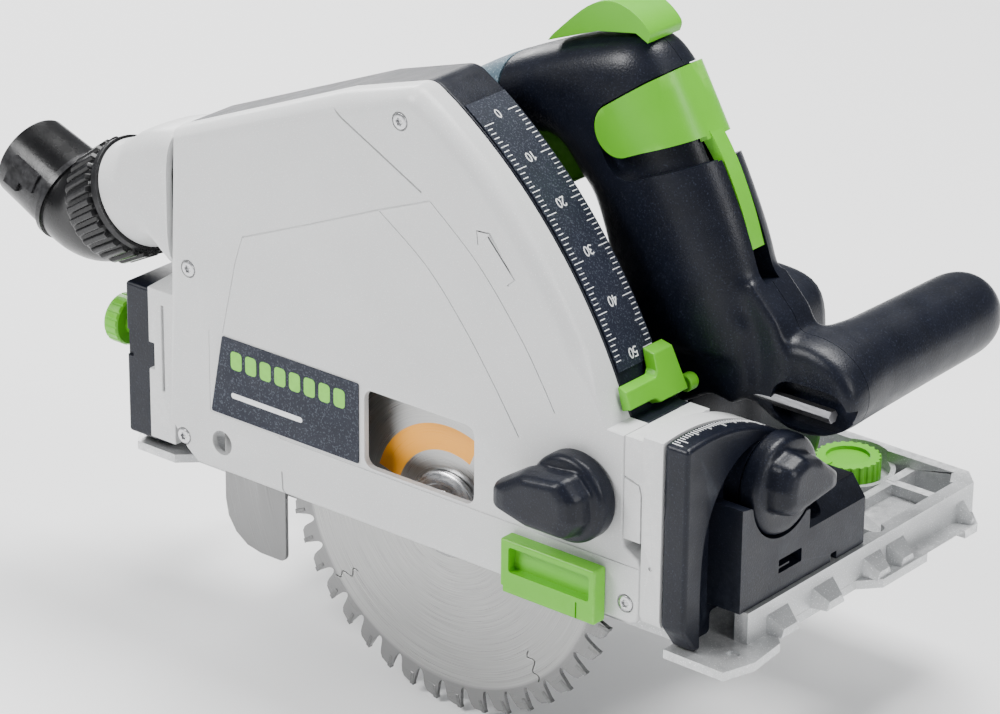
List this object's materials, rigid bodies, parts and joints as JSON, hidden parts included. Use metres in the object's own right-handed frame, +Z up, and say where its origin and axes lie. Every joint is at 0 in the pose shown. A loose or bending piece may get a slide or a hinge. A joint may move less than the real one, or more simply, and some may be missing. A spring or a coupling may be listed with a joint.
{
  "type": "track plunge saw",
  "caption": "Hand-guided circular saw on a bevelling base plate; the motor, handle and blade plunge on a rear pivot through a slim blade guard.",
  "frame": {"origin": "on the underside of the base plate, below the motor, level with the blade's centre along X and 60 mm to its motor side", "axes": "+X to the front of the saw (cutting direction), +Y to the motor side, +Z up from the guide rail"},
  "size_m": [0.377, 0.1954, 0.2748],
  "materials": {
    "cover_paint": "satin light grey paint",
    "cast_aluminium": "bead-blasted casting",
    "black_plastic": "fine grained blue-black, glass filled",
    "port_plastic": "semi-gloss black",
    "green_plastic": "satin lime green",
    "grip_rubber": "soft blue-grey",
    "label_print": "printed film",
    "blade_steel": "ground, with carbide tips",
    "machined_steel": "turned",
    "copper": "copper segments",
    "motor_iron": "laminated iron, varnished"
  },
  "bodies": {
    "base": {"base_plate": "cast_aluminium", "front_segment": "black_plastic", "rear_segment": "black_plastic"},
    "front_cam": {"front_guide_cam": "green_plastic"},
    "rear_cam": {"rear_guide_cam": "green_plastic"},
    "front_clamp": {"front_bevel_knob": "black_plastic"},
    "rear_clamp": {"rear_bevel_knob": "black_plastic"},
    "undercut_release": {"undercut_knob": "green_plastic"},
    "guard": {"side_cover": "cover_paint", "guard_housing": "black_plastic", "dust_spout": "cover_paint", "label_plate": "label_print", "depth_scale": "label_print", "front_end_block": "cover_paint", "rear_end_block": "cover_paint", "cover_screw_1": "machined_steel", "cover_screw_2": "machined_steel", "cover_screw_3": "machined_steel", "cover_screw_4": "machined_steel", "plunge_pivot_pin": "machined_steel", "plunge_spring": "machined_steel"},
    "stop_slider": {"depth_stop": "green_plastic"},
    "stop_button": {"stop_catch": "green_plastic"},
    "splinter_slide": {"splinter_guard": "green_plastic"},
    "splinter_clamp": {"splinter_guard_knob": "black_plastic"},
    "knife": {"riving_knife": "blade_steel"},
    "dust_port": {"dust_collar": "port_plastic", "dust_elbow": "port_plastic"},
    "saw_unit": {"gear_case": "black_plastic", "gear_cover": "cast_aluminium", "motor_housing": "black_plastic", "motor_end_cap": "black_plastic", "stator": "motor_iron", "carbon_brush_1": "copper", "carbon_brush_2": "copper", "spindle_bearing": "machined_steel", "countershaft_bearing": "machined_steel", "motor_bearing_front": "machined_steel", "motor_bearing_rear": "machined_steel", "handle_right_shell": "black_plastic", "handle_left_shell": "black_plastic", "grip_pad": "grip_rubber", "switch_module": "black_plastic", "power_inlet": "port_plastic"},
    "spindle": {"spindle_shaft": "machined_steel", "inner_flange": "machined_steel", "outer_flange": "machined_steel", "arbor_bolt": "machined_steel", "saw_blade": "blade_steel", "spindle_gear": "machined_steel"},
    "countershaft": {"countershaft": "machined_steel", "counter_gear": "machined_steel"},
    "armature": {"armature_shaft": "machined_steel", "armature_core": "motor_iron", "commutator": "copper", "cooling_fan": "black_plastic"},
    "trigger": {"trigger": "green_plastic"},
    "lock_slide": {"lock_slider": "green_plastic"},
    "blade_change": {"blade_change_lever": "green_plastic"},
    "hex_key": {"hex_key": "machined_steel"}
  },
  "joints": [
    {"name": "bevel_tilt", "type": "hinge", "parent": "base", "child": "guard", "pos_m": [0, -0.06, 0], "axis": [1, 0, 0], "range_deg": [-1, 47]},
    {"name": "plunge", "type": "hinge", "parent": "guard", "child": "saw_unit", "pos_m": [-0.1037, -0.028, 0.0222], "axis": [0, -1, 0], "range_deg": [0, 36]},
    {"name": "riving_knife_slide", "type": "slide", "parent": "guard", "child": "knife", "axis": [-0.3489, 0, 0.9371], "range_m": [0, 0.032]},
    {"name": "blade_spin", "type": "hinge", "parent": "saw_unit", "child": "spindle", "pos_m": [0, -0.06, 0.021], "axis": [0, 1, 0], "continuous": true},
    {"name": "countershaft_spin", "type": "hinge", "parent": "saw_unit", "child": "countershaft", "pos_m": [0.01379, -0.02, 0.03479], "axis": [0, 1, 0], "continuous": true},
    {"name": "armature_spin", "type": "hinge", "parent": "saw_unit", "child": "armature", "pos_m": [0.03217, 0.02, 0.05317], "axis": [0, 1, 0], "continuous": true},
    {"name": "trigger_squeeze", "type": "hinge", "parent": "saw_unit", "child": "trigger", "pos_m": [0.021, -0.0025, 0.159], "axis": [0, 1, 0], "range_deg": [0, 6.5], "stiffness_Nm_per_rad": 0.3, "springref_deg": -11.46},
    {"name": "lock_slide_move", "type": "slide", "parent": "saw_unit", "child": "lock_slide", "axis": [0.9119, 0, 0.4104], "range_m": [0, 0.005], "stiffness_N_per_m": 300, "springref_m": -0.002},
    {"name": "blade_change_slide", "type": "slide", "parent": "saw_unit", "child": "blade_change", "axis": [0.5, 0, -0.866], "range_m": [0, 0.008]},
    {"name": "hex_key_slide", "type": "slide", "parent": "saw_unit", "child": "hex_key", "axis": [1, 0, 0], "range_m": [0, 0.045]},
    {"name": "depth_stop_travel", "type": "hinge", "parent": "guard", "child": "stop_slider", "pos_m": [-0.1162, -0.045, 0.0068], "axis": [0, -1, 0], "range_deg": [0, 29]},
    {"name": "stop_button_press", "type": "slide", "parent": "stop_slider", "child": "stop_button", "axis": [0, -1, 0], "range_m": [0, 0.0015], "stiffness_N_per_m": 300, "springref_m": -0.002},
    {"name": "splinter_guard_slide", "type": "slide", "parent": "guard", "child": "splinter_slide", "axis": [0, 0, -1], "range_m": [0, 0.0085]},
    {"name": "splinter_knob_turn", "type": "hinge", "parent": "guard", "child": "splinter_clamp", "pos_m": [0.0705, -0.0724, 0.0555], "axis": [0, -1, 0], "range_deg": [0, 90]},
    {"name": "front_knob_turn", "type": "hinge", "parent": "base", "child": "front_clamp", "pos_m": [0.1186, -0.024, 0.058], "axis": [-1, 0, 0], "range_deg": [0, 90]},
    {"name": "rear_knob_turn", "type": "hinge", "parent": "base", "child": "rear_clamp", "pos_m": [-0.1604, -0.02, 0.045], "axis": [1, 0, 0], "range_deg": [0, 90]},
    {"name": "undercut_knob_turn", "type": "hinge", "parent": "base", "child": "undercut_release", "pos_m": [-0.1604, -0.048, 0.046], "axis": [1, 0, 0], "range_deg": [0, 90]},
    {"name": "front_cam_turn", "type": "hinge", "parent": "base", "child": "front_cam", "pos_m": [0.078, 0.085, 0.012], "axis": [0, 0, 1], "range_deg": [-60, 60]},
    {"name": "rear_cam_turn", "type": "hinge", "parent": "base", "child": "rear_cam", "pos_m": [-0.096, 0.085, 0.012], "axis": [0, 0, 1], "range_deg": [-60, 60]},
    {"name": "dust_port_swivel", "type": "hinge", "parent": "guard", "child": "dust_port", "pos_m": [-0.161, -0.052, 0.1046], "axis": [0.8541, 0, 0.5201], "range_deg": [-115, 115]}
  ],
  "couplings": [
    {"joint": "countershaft_spin", "follows": "blade_spin", "ratio": -1.6},
    {"joint": "armature_spin", "follows": "blade_spin", "ratio": 5.3333},
    {"joint": "riving_knife_slide", "follows": "plunge", "m_per_rad": 0.047746}
  ]
}
